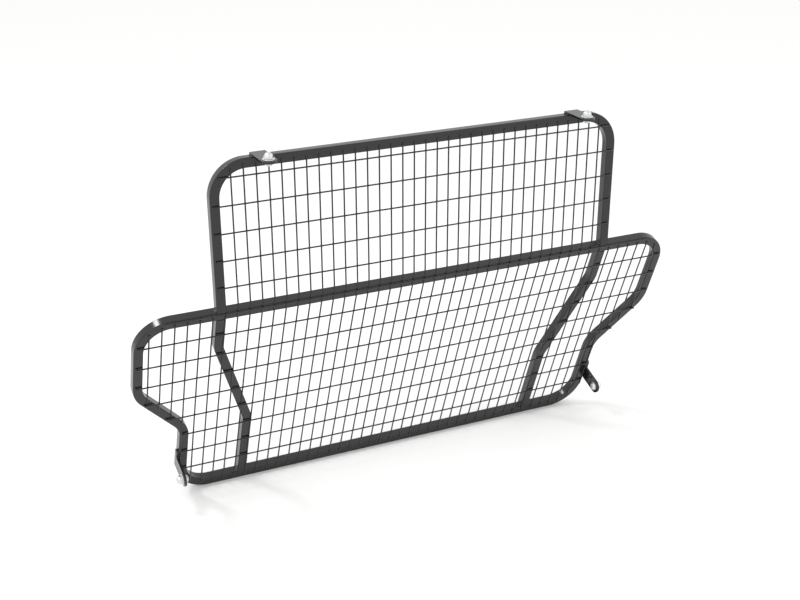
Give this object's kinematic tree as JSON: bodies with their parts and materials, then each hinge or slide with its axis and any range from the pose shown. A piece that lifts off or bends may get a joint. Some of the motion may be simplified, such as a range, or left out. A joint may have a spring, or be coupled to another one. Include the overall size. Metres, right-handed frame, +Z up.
{
  "type": "vehicle cargo barrier",
  "caption": "Black welded tube-and-mesh cargo barrier for an estate car or SUV, with a narrow upper hoop, a wide lower ring that leans back, roof straps and floor brackets.",
  "frame": {"origin": "midway between the two roof bolts, on the top face of the roof straps", "axes": "+X across the vehicle, towards the right strap; -Y towards the cargo space, the side the mesh is welded to; +Z up, along the roof bolts"},
  "size_m": [1.228, 0.2673, 0.8082],
  "materials": {
    "black_powder_coated_tube": "semi-gloss powder coat",
    "black_powder_coated_wire": "semi-gloss powder coat",
    "black_powder_coated_plate": "semi-gloss powder coat",
    "zinc_plated_bolt": "bright zinc plate",
    "zinc_plated_washer": "bright zinc plate",
    "zinc_plated_nut": "bright zinc plate"
  },
  "bodies": {
    "frame": {"upper_hoop_tube": "black_powder_coated_tube", "wing_ring_tube": "black_powder_coated_tube", "left_stiffener_tube": "black_powder_coated_tube", "right_stiffener_tube": "black_powder_coated_tube", "upper_upright_wires": "black_powder_coated_wire", "lower_upright_wires": "black_powder_coated_wire", "upper_cross_wires": "black_powder_coated_wire", "lower_cross_wires": "black_powder_coated_wire", "left_roof_strap": "black_powder_coated_plate", "right_roof_strap": "black_powder_coated_plate", "left_floor_bracket": "black_powder_coated_plate", "right_floor_bracket": "black_powder_coated_plate", "left_roof_bolt": "zinc_plated_bolt", "right_roof_bolt": "zinc_plated_bolt", "left_floor_bolt": "zinc_plated_bolt", "right_floor_bolt": "zinc_plated_bolt"},
    "left_roof_washer": {"left_roof_washer": "zinc_plated_washer"},
    "left_roof_nut": {"left_roof_nut": "zinc_plated_nut"},
    "right_roof_washer": {"right_roof_washer": "zinc_plated_washer"},
    "right_roof_nut": {"right_roof_nut": "zinc_plated_nut"},
    "left_floor_washer": {"left_floor_washer": "zinc_plated_washer"},
    "left_floor_nut": {"left_floor_nut": "zinc_plated_nut"},
    "right_floor_washer": {"right_floor_washer": "zinc_plated_washer"},
    "right_floor_nut": {"right_floor_nut": "zinc_plated_nut"}
  },
  "joints": [
    {"name": "left_roof_washer_slide", "type": "slide", "parent": "frame", "child": "left_roof_washer", "axis": [0, 0, 1], "range_m": [0, 0.00675]},
    {"name": "left_roof_nut_turn", "type": "hinge", "parent": "left_roof_washer", "child": "left_roof_nut", "pos_m": [-0.346, 0, 0], "axis": [0, 0, 1], "range_deg": [0, 1620]},
    {"name": "right_roof_washer_slide", "type": "slide", "parent": "frame", "child": "right_roof_washer", "axis": [0, 0, 1], "range_m": [0, 0.00675]},
    {"name": "right_roof_nut_turn", "type": "hinge", "parent": "right_roof_washer", "child": "right_roof_nut", "pos_m": [0.346, 0, 0], "axis": [0, 0, 1], "range_deg": [0, 1620]},
    {"name": "left_floor_washer_slide", "type": "slide", "parent": "frame", "child": "left_floor_washer", "axis": [-1, 0, 0], "range_m": [0, 0.00675]},
    {"name": "left_floor_nut_turn", "type": "hinge", "parent": "left_floor_washer", "child": "left_floor_nut", "pos_m": [-0.517, 0.15271, -0.71953], "axis": [-1, 0, 0], "range_deg": [0, 1620]},
    {"name": "right_floor_washer_slide", "type": "slide", "parent": "frame", "child": "right_floor_washer", "axis": [1, 0, 0], "range_m": [0, 0.00675]},
    {"name": "right_floor_nut_turn", "type": "hinge", "parent": "right_floor_washer", "child": "right_floor_nut", "pos_m": [0.517, 0.15271, -0.71953], "axis": [1, 0, 0], "range_deg": [0, 1620]}
  ],
  "couplings": [
    {"joint": "left_roof_washer_slide", "follows": "left_roof_nut_turn", "m_per_rad": 0.00023873},
    {"joint": "right_roof_washer_slide", "follows": "right_roof_nut_turn", "m_per_rad": 0.00023873},
    {"joint": "left_floor_washer_slide", "follows": "left_floor_nut_turn", "m_per_rad": 0.00023873},
    {"joint": "right_floor_washer_slide", "follows": "right_floor_nut_turn", "m_per_rad": 0.00023873}
  ]
}
